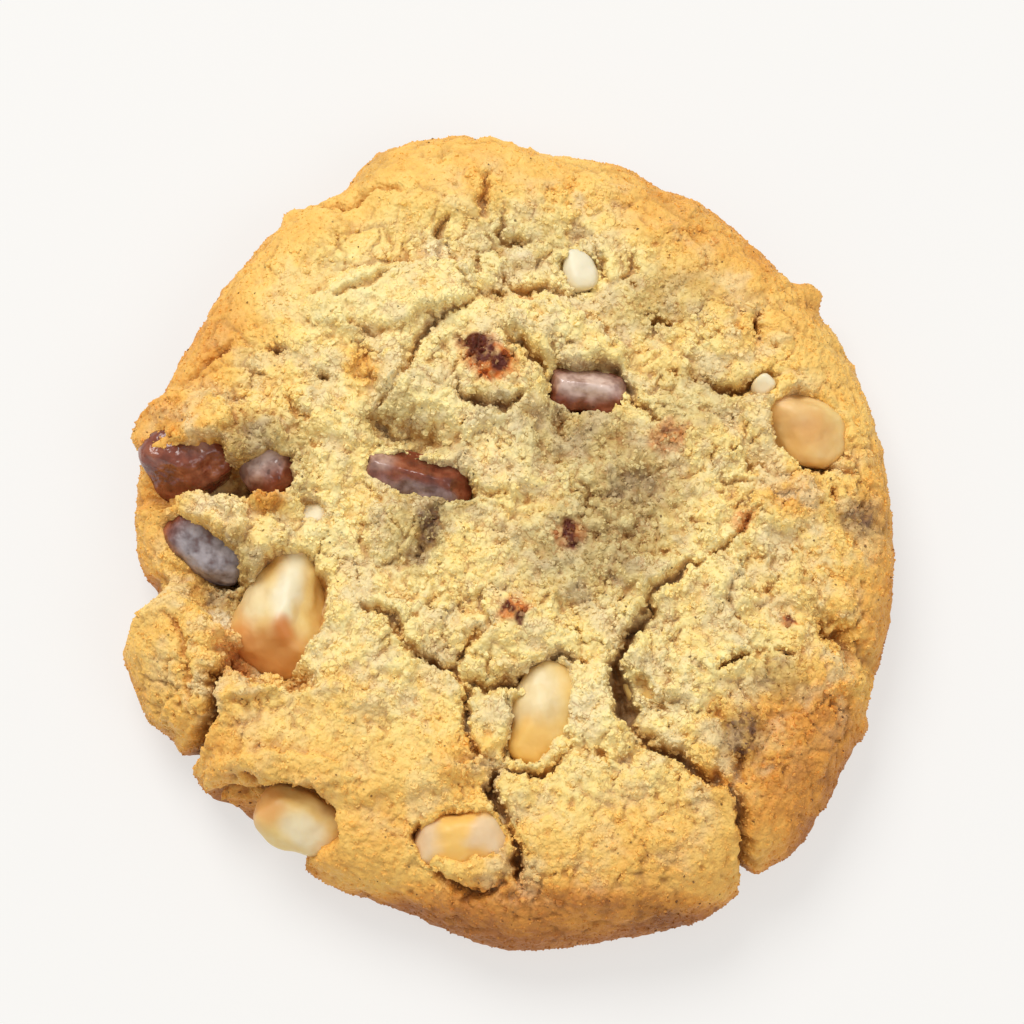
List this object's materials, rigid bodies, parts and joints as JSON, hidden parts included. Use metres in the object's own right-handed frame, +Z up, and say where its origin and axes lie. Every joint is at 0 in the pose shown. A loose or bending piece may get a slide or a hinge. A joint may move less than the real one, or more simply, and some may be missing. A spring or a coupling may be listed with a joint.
{
  "type": "chocolate chip cookie",
  "caption": "Thick round baked cookie with a cracked, lumpy golden top, broken milk chocolate and chopped macadamia nuts set in the dough, and a flat base.",
  "frame": {"origin": "middle of the flat base, on the surface it rests on", "axes": "+Z up, out of the cracked top; +Y away from the viewer of the picture, towards the picture's top; +X to the picture's right"},
  "size_m": [0.085, 0.0917, 0.0183],
  "materials": {
    "dough": "baked, rough and matte",
    "chocolate": "milk chocolate, satin with some grey bloom",
    "nut": "roasted macadamia, waxy"
  },
  "bodies": {
    "root": {"dough": "dough", "chip_rim": "chocolate", "chip_round": "chocolate", "chip_bloomed": "chocolate", "chip_centre": "chocolate", "chip_upper": "chocolate", "nut_left": "nut", "nut_right": "nut", "nut_centre": "nut", "nut_rim": "nut", "nut_lower": "nut", "nut_top": "nut", "nut_bit_crack": "nut", "nut_bit_left": "nut", "nut_bit_right": "nut"}
  },
  "joints": []
}
